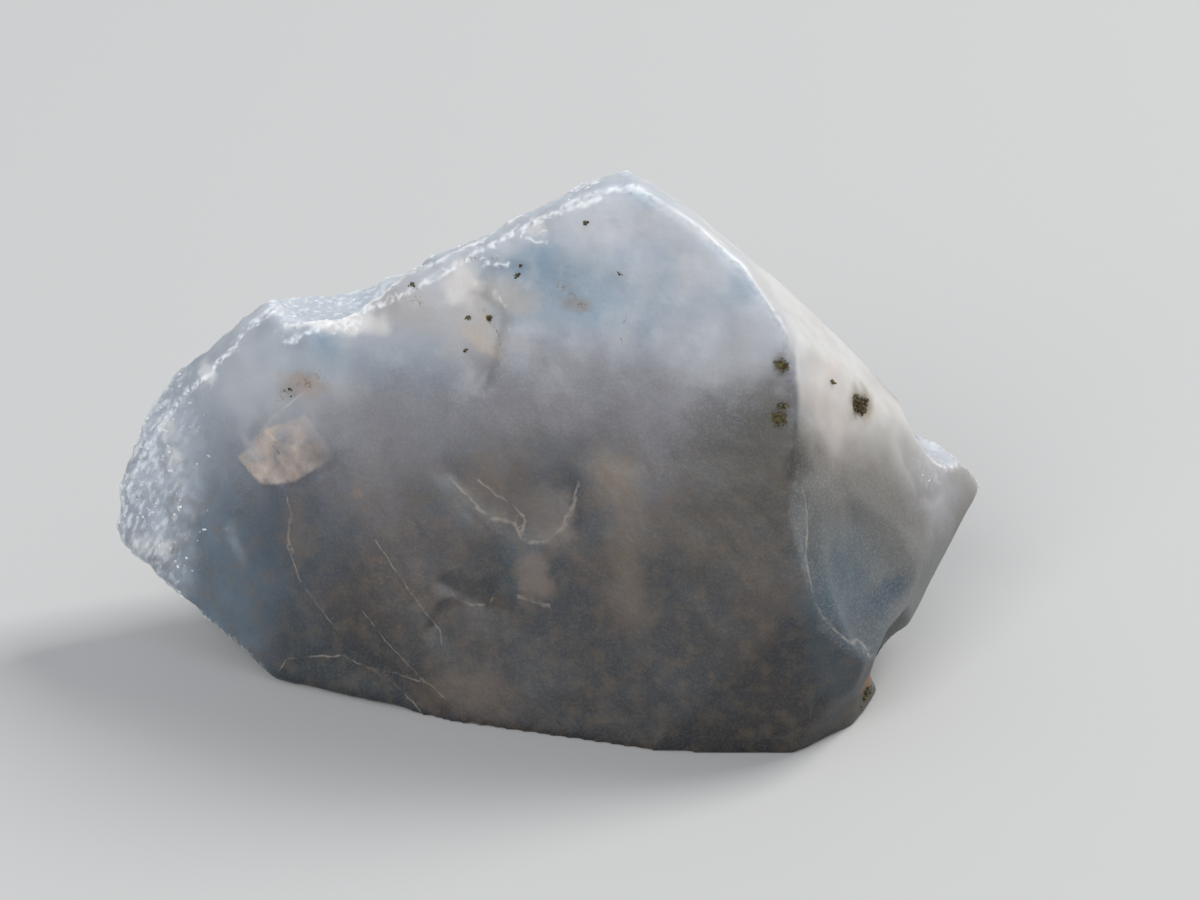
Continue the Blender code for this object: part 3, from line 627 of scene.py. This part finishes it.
def paint_colours(points, normals, thickness, ends):
    """The soft colour of the crystal, with painted shade and painted glow, and how strongly the front is
    painted shaded, for each vertex.
    """
    cloud = rough(points, CLOUD_SPAN, 3, (1.0, 2.0, 3.0))
    fine_cloud = rough(points, FINE_CLOUD_SPAN, 3, (5.0, 2.0, 9.0))
    right = right_share(points, normals, ends)
    back = blur(ends, between(normals[:, 1], *BACK_FACES), 6)
    back *= 1.0 - between(points[:, 2], *BACK_TOP)
    # Painted shade: darker low, to the right and where thick; painted glow: lighter high, to the left and
    # where thin.
    upper = points[:, 2] + LEFT_RISE * np.clip(-points[:, 0] - 1.0, 0.0, 15.0) + CLOUD_RISE * cloud
    upper -= RIGHT_FALL * np.clip(points[:, 0] - 5.0, 0.0, 8.0)
    dark = 1.0 - between(upper, *DARK_TO_LIGHT)
    dark *= THIN_DARKNESS + (1.0 - THIN_DARKNESS) * between(thickness, *THIN_TO_THICK)
    dark = np.clip(dark + FINE_DARKNESS * fine_cloud, 0.0, 1.0)
    plain = np.ones((len(points), 3))
    light = blend(plain * LIGHT, PALE_BLUE, between(rough(points, 4.0, 2, (3.0, 3.0, 3.0)), -0.1, 0.6))
    deep = blend(plain * MAUVE, SHADE_GREY, between(rough(points, 3.4, 3, (8.0, 1.0, 2.0)), -0.25, 0.30))
    # The painted shade deepens towards the floor.
    deep *= FOOT_DARKNESS + (1.0 - FOOT_DARKNESS) * between(points[:, 2], *FOOT_HEIGHTS)[:, None]
    paint = blend(light, MIDDLE, between(dark, 0.02, 0.34))
    paint = blend(paint, deep, between(dark, 0.22, 0.92))
    # The right face: painted light, warm white at its top and towards the tip, grey lower down.
    skyward = points[:, 2] + TIPWARD * (np.clip(points[:, 0] - 13.0, -2.0, 12.0) + cloud)
    right_paint = blend(plain * WARM_WHITE, RIGHT_MIDDLE, 1.0 - between(skyward, *RIGHT_WHITE))
    right_paint = blend(right_paint, RIGHT_LOW, 1.0 - between(skyward, *RIGHT_GREY))
    paint = blend(paint, right_paint, right * (1.0 - back))
    paint = blend(paint, BACK, BACK_STRENGTH * back)
    # Upward facets paler: crushed white and painted light from above.
    top = blur(ends, between(normals[:, 2], *TOP_FACES), 2)
    paint = blend(paint, SUGAR, TOP_STRENGTH * top)
    left_end = between(-points[:, 0], *LEFT_END_PLACES)
    paint = blend(paint, LEFT_END, LEFT_END_STRENGTH * left_end * (1.0 - top))
    for centre, size, colour, strength, softness in PATCHES.values():
        paint = blend(paint, colour, patch_share(points, centre, size, strength, softness))
    # How strongly the front is painted shaded, kept for the material.
    painted_shade = between(dark, *PAINTED_SHADE_RANGE) * (1.0 - right) * (1.0 - back)
    return paint * (1.0 + FINE_PAINT * fine_cloud[:, None]), painted_shade


def crystal():
    """The celestine piece as one closed mesh with its fine surface."""
    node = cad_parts[NODE]
    piece = bpy.data.objects.new("celestine_piece", node.data.copy())
    bpy.context.scene.collection.objects.link(piece)
    grid = piece.modifiers.new("even grid", "REMESH")
    grid.mode = "VOXEL"
    grid.voxel_size = FACE_SIZE * MM
    soft = piece.modifiers.new("rounded facets", "SMOOTH")
    soft.factor = 0.5
    soft.iterations = SMOOTH_PASSES
    apply_modifiers(piece)
    mesh = piece.data
    points = read_points(mesh)
    ends = mesh_ends(mesh)
    eased = np.maximum.reduce([patch_share(points, *place, *EASING) for place in EASED.values()])
    for _ in range(EASING_PASSES):
        points += eased[:, None] * (neighbour_mean(ends, points) - points)
    write_points(mesh, points)
    normals = read_normals(mesh)
    bulge = ((points - neighbour_mean(ends, points)) * normals).sum(axis=1) / FACE_SIZE
    edge = blur(ends, between(bulge, *EDGE_BULGE), 1) * frosted_share(points)
    broad_normals = blur(ends, normals, 6)
    crushed = crushed_share(points, broad_normals)
    white_ways, white_distance = way_to_lines(points, WHITE_LINES)
    brown_ways, brown_distance = way_to_lines(points, BROWN_LINES)
    bright_ways, bright_distance = way_to_lines(points, BRIGHT_LINES, 1.0)
    satin_height, satin_length = SATIN
    swell_height, swell_length = SWELL
    nibble_depth, nibble_length = NIBBLE
    bites = np.clip(rough(points, nibble_length, 2, (2.0, 5.0, 9.0)) + 0.15, 0.0, 1.0)
    height = satin_height * rough(points, satin_length, 3)
    height += swell_height * rough(points, swell_length, 2, (6.0, 6.0, 1.0))
    height += cleavage_steps(points)
    height -= nibble_depth * bites * edge
    broken = CRUSHED_RELIEF * crushed + edge
    broken += BRIGHT_RELIEF * (1.0 - between(bright_distance, *BRIGHT_REACH))
    height += CHIP_HEIGHT * chips(points, CHIP_SIZE) * np.clip(broken, 0.0, 1.0)
    height += SEAM_HEIGHT * (1.0 - between(white_distance, 0.0, SEAM_WIDTH))
    height -= SEAM_HEIGHT * (1.0 - between(brown_distance, 0.0, SEAM_WIDTH))
    height *= between(points[:, 2], *CALM_FOOT)
    moved = points + normals * height[:, None]
    moved = np.clip(moved, np.array(cad_low) / MM, np.array(cad_high) / MM)
    write_points(mesh, moved)
    thickness = blur(ends, thickness_at(points, node), 12)
    write_share(mesh, "edge", edge)
    write_share(mesh, "crushed", crushed)
    write_share(mesh, "quad", inside_corners(points, QUAD))
    write_share(mesh, "cream", inside_corners(points, CREAM_FACET))
    write_vector(mesh, "white_way", white_ways)
    write_vector(mesh, "brown_way", brown_ways)
    write_vector(mesh, "bright_way", bright_ways)
    paint, painted_shade = paint_colours(points, broad_normals, thickness, ends)
    write_vector(mesh, "paint", paint)
    write_share(mesh, "painted_shade", painted_shade)
    mesh.shade_smooth()
    print("crystal faces", len(mesh.polygons))
    return piece, crushed, edge


def angular_grain(shape, place, size, rng):
    """Adds one small angular grain: the hull of a few random points round a place."""
    corners = []
    for _ in range(GRAIN_CORNERS):
        way = Vector((rng.gauss(0, 1), rng.gauss(0, 1), rng.gauss(0, 1))).normalized()
        way = Vector((way.x, way.y, way.z * GRAIN_FLATNESS))
        corners.append(shape.verts.new((place + way * size) * MM))
    hull = bmesh.ops.convex_hull(shape, input=corners)
    loose = {v for v in hull["geom_interior"] + hull["geom_unused"] if isinstance(v, bmesh.types.BMVert)}
    bmesh.ops.delete(shape, geom=[v for v in loose if v.is_valid], context="VERTS")


def keep_in_box(shape):
    """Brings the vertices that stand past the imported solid's box back to it."""
    for vertex in shape.verts:
        for axis in range(3):
            vertex.co[axis] = min(max(vertex.co[axis], cad_low[axis]), cad_high[axis])


def finish_grains(name, shape, material):
    keep_in_box(shape)
    bmesh.ops.recalc_face_normals(shape, faces=shape.faces)
    mesh = bpy.data.meshes.new(name)
    shape.to_mesh(mesh)
    shape.free()
    mesh.materials.append(material)
    thing = bpy.data.objects.new(name, mesh)
    bpy.context.scene.collection.objects.link(thing)
    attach(thing, BODY)
    print(name, "faces", len(mesh.polygons))
    return thing


def white_grains(piece, crushed, edge, material):
    """Crushed white grains, half sunk in the surface, thick where it is crushed."""
    rng = random.Random(SEED)
    points = read_points(piece.data)
    normals = read_normals(piece.data)
    wanted = crushed ** 1.5 + 0.10 * edge * between(points[:, 2], 3.0, 8.0)
    wanted *= between(points[:, 2], 0.4, 1.5)
    wanted *= between(rough(points, 1.2, 2, (3.0, 8.0, 5.0)), -0.15, 0.5) + 0.08
    chosen = rng.choices(range(len(points)), weights=wanted.tolist(), k=WHITE_GRAINS)
    shape = bmesh.new()
    small, large = WHITE_GRAIN
    for index in chosen:
        size = small + (large - small) * rng.random() ** 2.5
        place = Vector(points[index]) - Vector(normals[index]) * size * 0.35
        angular_grain(shape, place, size, rng)
    return finish_grains("crushed_grains", shape, material)


def earth_grains(piece, material):
    """Brown earth in the pits and in small specks on the faces."""
    rng = random.Random(SEED + 1)
    corners = [vertex.co for vertex in piece.data.vertices]
    surface = BVHTree.FromPolygons(corners, [face.vertices for face in piece.data.polygons])
    shape = bmesh.new()
    small, large = EARTH_GRAIN
    for centre, reach, count in EARTH_HEAPS.values():
        for _ in range(count):
            off = Vector((rng.gauss(0, 1), rng.gauss(0, 1), rng.gauss(0, 1))) * reach * 0.5
            nearest = surface.find_nearest((Vector(centre) + off) * MM)
            size = small + (large - small) * rng.random() ** 2
            angular_grain(shape, nearest[0] / MM + nearest[1] * size * 0.15, size, rng)
    return finish_grains("earth_grains", shape, material)


class Shading:
    """Adds the nodes of one material, so that the material reads as a list of steps."""

    def __init__(self, name):
        self.material = bpy.data.materials.new(name)
        self.material.use_nodes = True
        self.tree = self.material.node_tree
        self.shader = self.tree.nodes["Principled BSDF"]
        self.output = self.tree.nodes["Material Output"]
        place = self.tree.nodes.new("ShaderNodeTexCoord")
        in_mm = self.tree.nodes.new("ShaderNodeVectorMath")
        in_mm.operation = "SCALE"
        in_mm.inputs["Scale"].default_value = 1.0 / MM
        self.tree.links.new(place.outputs["Object"], in_mm.inputs[0])
        self.place = in_mm.outputs["Vector"]

    def put(self, socket, value):
        if isinstance(value, bpy.types.NodeSocket):
            self.tree.links.new(value, socket)
        else:
            socket.default_value = value

    def math(self, operation, first, second, clamp=False):
        node = self.tree.nodes.new("ShaderNodeMath")
        node.operation = operation
        node.use_clamp = clamp
        self.put(node.inputs[0], first)
        self.put(node.inputs[1], second)
        return node.outputs[0]

    def attribute(self, name):
        node = self.tree.nodes.new("ShaderNodeAttribute")
        node.attribute_name = name
        return node

    def share(self, name):
        return self.attribute(name).outputs["Fac"]

    def waver(self, length):
        """A vector that varies evenly about zero over the given length in millimetres."""
        node = self.tree.nodes.new("ShaderNodeTexNoise")
        node.inputs["Scale"].default_value = 1.0 / length
        node.inputs["Detail"].default_value = 1.0
        self.tree.links.new(self.place, node.inputs["Vector"])
        centred = self.tree.nodes.new("ShaderNodeVectorMath")
        centred.operation = "SUBTRACT"
        self.put(centred.inputs[0], node.outputs["Color"])
        self.put(centred.inputs[1], (0.5, 0.5, 0.5))
        return centred.outputs["Vector"]

    def moved(self, vector, shift, amount):
        """A vector moved by an amount of a shift, so that a line kept as ways to it wavers a little."""
        node = self.tree.nodes.new("ShaderNodeVectorMath")
        node.operation = "MULTIPLY_ADD"
        self.put(node.inputs[0], shift)
        self.put(node.inputs[1], (amount, amount, amount))
        self.put(node.inputs[2], vector)
        return node.outputs["Vector"]

    def length(self, vector):
        node = self.tree.nodes.new("ShaderNodeVectorMath")
        node.operation = "LENGTH"
        self.put(node.inputs[0], vector)
        return node.outputs["Value"]

    def between(self, value, low, high):
        """0 at low, 1 at high, and a smooth way from one to the other."""
        node = self.tree.nodes.new("ShaderNodeMapRange")
        node.interpolation_type = "SMOOTHSTEP"
        self.put(node.inputs["Value"], value)
        node.inputs["From Min"].default_value = low
        node.inputs["From Max"].default_value = high
        return node.outputs["Result"]

    def axis(self, index):
        """The place along X, Y or Z, in millimetres."""
        node = self.tree.nodes.new("ShaderNodeSeparateXYZ")
        self.put(node.inputs[0], self.place)
        return node.outputs[index]

    def stretched(self, way, share):
        """The place, pressed together along a direction, so that noise there grows long streaks."""
        along = self.tree.nodes.new("ShaderNodeVectorMath")
        along.operation = "PROJECT"
        self.put(along.inputs[0], self.place)
        self.put(along.inputs[1], way)
        pressed = self.tree.nodes.new("ShaderNodeVectorMath")
        pressed.operation = "MULTIPLY_ADD"
        self.put(pressed.inputs[0], along.outputs["Vector"])
        self.put(pressed.inputs[1], (-share, -share, -share))
        self.put(pressed.inputs[2], self.place)
        return pressed.outputs["Vector"]

    def noise(self, length, detail=2.0, distortion=0.0, place=None):
        """Cloudy noise, about 0.2 to 0.8, that varies over the given length in millimetres."""
        node = self.tree.nodes.new("ShaderNodeTexNoise")
        node.inputs["Scale"].default_value = 1.0 / length
        node.inputs["Detail"].default_value = detail
        node.inputs["Distortion"].default_value = distortion
        self.put(node.inputs["Vector"], place or self.place)
        return node.outputs["Fac"]

    def mix(self, share, first, second):
        node = self.tree.nodes.new("ShaderNodeMix")
        node.data_type = "RGBA"
        self.put(node.inputs["Factor"], share)
        first_socket, second_socket = [s for s in node.inputs if s.type == "RGBA"]
        self.put(first_socket, first)
        self.put(second_socket, second)
        return [s for s in node.outputs if s.type == "RGBA"][0]

    def bump(self, height, depth):
        """Small relief too fine for the mesh, with its depth in metres."""
        node = self.tree.nodes.new("ShaderNodeBump")
        node.inputs["Distance"].default_value = depth
        self.put(node.inputs["Height"], height)
        self.tree.links.new(node.outputs["Normal"], self.shader.inputs["Normal"])


def opaque(colour):
    return (*colour, 1.0)


def celestine_material():
    make = Shading("celestine")
    edge = make.share("edge")
    crushed = make.share("crushed")
    fleck = make.noise(FLECK_LENGTH, 2.0)
    grit = make.noise(GRIT_LENGTH, 1.0)
    drift = make.noise(DRIFT_LENGTH, 3.0)
    streak = make.noise(STREAK_LENGTH, 2.0, place=make.stretched(STREAK_WAY, 0.55))
    cloud = make.noise(CLOUD_LENGTH, 3.0)
    base = make.attribute("paint").outputs["Vector"]
    # The light part is high and out of the painted shade.
    light_part = make.math("SUBTRACT", 1.0, make.share("painted_shade"), clamp=True)
    light_part = make.math("MULTIPLY", light_part, make.between(make.axis(2), 11.0, 23.0))
    wisp = make.math("MULTIPLY", make.between(make.noise(WISP_LENGTH, 3.0), 0.46, 0.78), light_part)
    base = make.mix(make.math("MULTIPLY", wisp, WISP_STRENGTH), base, opaque(FROST))
    border = make.math("MULTIPLY", make.math("SUBTRACT", fleck, 0.5), 0.25)
    cream = make.between(make.math("ADD", make.share("cream"), border), -0.10, 0.30)
    cream = make.math("MULTIPLY", cream, make.between(cloud, 0.10, 0.80))
    base = make.mix(cream, base, opaque(CREAM))
    inside = make.math("ADD", make.share("quad"), border)
    faded = make.between(make.axis(0), -10.8, -13.4)
    stain = make.math("MULTIPLY", make.between(inside, -0.03, 0.14), faded)
    stain = make.math("MULTIPLY", stain, make.between(cloud, 0.05, 0.75))
    base = make.mix(stain, base, opaque(BEIGE))
    veil = make.math("MULTIPLY", make.between(drift, 0.42, 0.72), make.share("painted_shade"))
    base = make.mix(make.math("MULTIPLY", veil, VEIL_STRENGTH), base, opaque(VEIL))
    gap = make.math("MULTIPLY", make.between(make.noise(GAP_LENGTH, 2.0), 0.52, 0.74), make.share("painted_shade"))
    base = make.mix(make.math("MULTIPLY", gap, GAP_STRENGTH), base, opaque(TEAL))
    grain = make.math("MULTIPLY", make.between(grit, 0.42, 0.72), GRIT_STRENGTH)
    plain = make.math("SUBTRACT", 1.0, make.math("MULTIPLY", make.share("painted_shade"), 0.75))
    grain = make.math("MULTIPLY", grain, plain)
    base = make.mix(grain, base, opaque(LIGHT))
    uneven = make.math("MULTIPLY", make.math("SUBTRACT", fleck, 0.42), 1.6)
    shift = make.waver(WAVER_LENGTH)
    white = make.length(make.moved(make.attribute("white_way").outputs["Vector"], shift, 4.5))
    white = make.math("SUBTRACT", 1.0, make.between(make.math("ADD", white, uneven), 0.4, 1.7))
    faint = make.math("MULTIPLY", make.between(cloud, 0.28, 0.60), CRACK_STRENGTH)
    white = make.math("MULTIPLY", white, faint)
    base = make.mix(white, base, opaque(CRACK_WHITE))
    bright = make.length(make.moved(make.attribute("bright_way").outputs["Vector"], shift, 4.0))
    ragged = make.math("MULTIPLY", make.math("SUBTRACT", streak, 0.5), 4.0)
    bright = make.math("SUBTRACT", 1.0, make.between(make.math("ADD", bright, ragged), 0.1, 2.2))
    bright = make.math("MULTIPLY", bright, make.between(fleck, 0.30, 0.56))
    brown = make.length(make.moved(make.attribute("brown_way").outputs["Vector"], shift, 4.0))
    brown = make.math("SUBTRACT", 1.0, make.between(make.math("ADD", brown, uneven), 0.2, 1.4))
    brown = make.math("MULTIPLY", brown, make.between(grit, 0.40, 0.60))
    base = make.mix(make.math("MULTIPLY", brown, RUST_STRENGTH), base, opaque(RUST_SHADE))
    broken_edge = make.between(make.math("ADD", fleck, make.math("MULTIPLY", edge, 0.25)), 0.45, 0.70)
    broken_edge = make.math("MULTIPLY", edge, broken_edge)
    sugar = make.between(make.math("ADD", streak, make.math("MULTIPLY", crushed, 0.10)), 0.52, 0.80)
    sugar = make.math("MULTIPLY", make.math("MULTIPLY", crushed, sugar), SUGAR_STRENGTH)
    # Frost: white broken edges, crushed sugar and the bright lines, with a painted highlight along the upper
    # left crest.
    bright = make.math("MULTIPLY", bright, BRIGHT_STRENGTH)
    frost_and_highlight = make.math("MAXIMUM", broken_edge, make.math("MAXIMUM", sugar, bright), clamp=True)
    base = make.mix(make.math("MULTIPLY", frost_and_highlight, FROST_STRENGTH), base, opaque(FROST))
    make.put(make.shader.inputs["Base Color"], base)
    marks = make.math("MAXIMUM", white, brown)
    cover = make.math("MAXIMUM", make.math("MAXIMUM", frost_and_highlight, stain), marks, clamp=True)
    clear = make.math("SUBTRACT", 1.0, make.math("MULTIPLY", cover, 0.8))
    make.put(make.shader.inputs["Transmission Weight"], make.math("MULTIPLY", clear, CLEAR_SHARE))
    make.shader.inputs["IOR"].default_value = REFRACTION
    satin = make.math("ADD", ROUGHNESS, make.math("MULTIPLY", drift, ROUGHNESS_VARIES))
    satin = make.math("ADD", satin, make.math("MULTIPLY", cover, COVER_ROUGHNESS))
    make.put(make.shader.inputs["Roughness"], satin)
    make.shader.subsurface_method = "RANDOM_WALK"
    make.shader.inputs["Subsurface Weight"].default_value = MILKY_SHARE
    make.shader.inputs["Subsurface Radius"].default_value = MILKY_RADIUS
    make.shader.inputs["Subsurface Scale"].default_value = MILKY_DEPTH
    make.bump(fleck, BUMP_DEPTH)
    volume = make.tree.nodes.new("ShaderNodeVolumeAbsorption")
    volume.inputs["Color"].default_value = DYE
    volume.inputs["Density"].default_value = DYE_DENSITY
    make.tree.links.new(volume.outputs["Volume"], make.output.inputs["Volume"])
    return make.material


def frost_material():
    """Crushed celestine: white and hardly clear, with small bright facets."""
    make = Shading("crushed celestine")
    base = make.mix(make.noise(0.6, 2.0), opaque(SUGAR), opaque(FROST))
    make.put(make.shader.inputs["Base Color"], base)
    make.shader.inputs["IOR"].default_value = REFRACTION
    satin = make.math("ADD", 0.15, make.math("MULTIPLY", make.noise(0.2), 0.3))
    make.put(make.shader.inputs["Roughness"], satin)
    make.shader.inputs["Transmission Weight"].default_value = 0.25
    return make.material


def earth_material():
    """Dry earth from dark brown to olive and ochre."""
    make = Shading("earth")
    base = make.mix(make.between(make.noise(0.25, 2.0), 0.40, 0.60), opaque(EARTH), opaque(OLIVE))
    base = make.mix(make.between(make.noise(0.18, 2.0, 1.0), 0.58, 0.72), base, opaque(RUST))
    make.put(make.shader.inputs["Base Color"], base)
    dull = make.math("ADD", 0.70, make.math("MULTIPLY", make.noise(0.1), 0.25))
    make.put(make.shader.inputs["Roughness"], dull)
    return make.material


def floor():
    """The plain pale surface that the piece lies on."""
    mesh = bpy.data.meshes.new("floor")
    far = FLOOR_REACH
    corners = [(-far, -far, 0.0), (far, -far, 0.0), (far, far, 0.0), (-far, far, 0.0)]
    mesh.from_pydata(corners, [], [(0, 1, 2, 3)])
    thing = bpy.data.objects.new("floor", mesh)
    thing.location.z = -FLOOR_DROP
    bpy.context.scene.collection.objects.link(thing)
    make = Shading("pale floor")
    make.shader.inputs["Base Color"].default_value = FLOOR_GREY
    make.shader.inputs["Roughness"].default_value = FLOOR_ROUGHNESS
    mesh.materials.append(make.material)


def area_light(name, place, size, watts, tint=(1.0, 1.0, 1.0)):
    """A square soft light at a place in metres, aimed at the middle of the piece."""
    lamp = bpy.data.lights.new(name, "AREA")
    lamp.size = size
    lamp.energy = watts
    lamp.color = tint
    thing = bpy.data.objects.new(name, lamp)
    thing.location = place
    aim = LIGHT_AIM - Vector(place)
    thing.rotation_mode = "QUATERNION"
    thing.rotation_quaternion = aim.to_track_quat("-Z", "Y")
    bpy.context.scene.collection.objects.link(thing)


def lights():
    area_light("key light", (0.85, 0.50, 1.00), 0.50, 17.0, (1.0, 0.985, 0.96))
    area_light("front fill", (-0.55, -1.15, 0.90), 0.90, 15.0)
    world = bpy.data.worlds.new("soft room")
    world.use_nodes = True
    sky = world.node_tree.nodes["Background"]
    sky.inputs["Color"].default_value = SKY
    sky.inputs["Strength"].default_value = SKY_STRENGTH
    bpy.context.scene.world = world
    bpy.context.scene.view_settings.view_transform = "Standard"


def camera():
    lens = bpy.data.cameras.new("camera")
    lens.lens = LENS
    lens.sensor_width = SENSOR
    lens.clip_start = 0.005
    thing = bpy.data.objects.new("camera", lens)
    thing.location = CAMERA_PLACE
    thing.rotation_euler = (math.pi / 2 - LOOKING_DOWN, 0.0, 0.0)
    bpy.context.scene.collection.objects.link(thing)
    bpy.context.scene.camera = thing


camera()
lights()
floor()
piece, crushed, edge = crystal()
piece.data.materials.clear()
piece.data.materials.append(celestine_material())
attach(piece, BODY)
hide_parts(NODE)
white_grains(piece, crushed, edge, frost_material())
earth_grains(piece, earth_material())
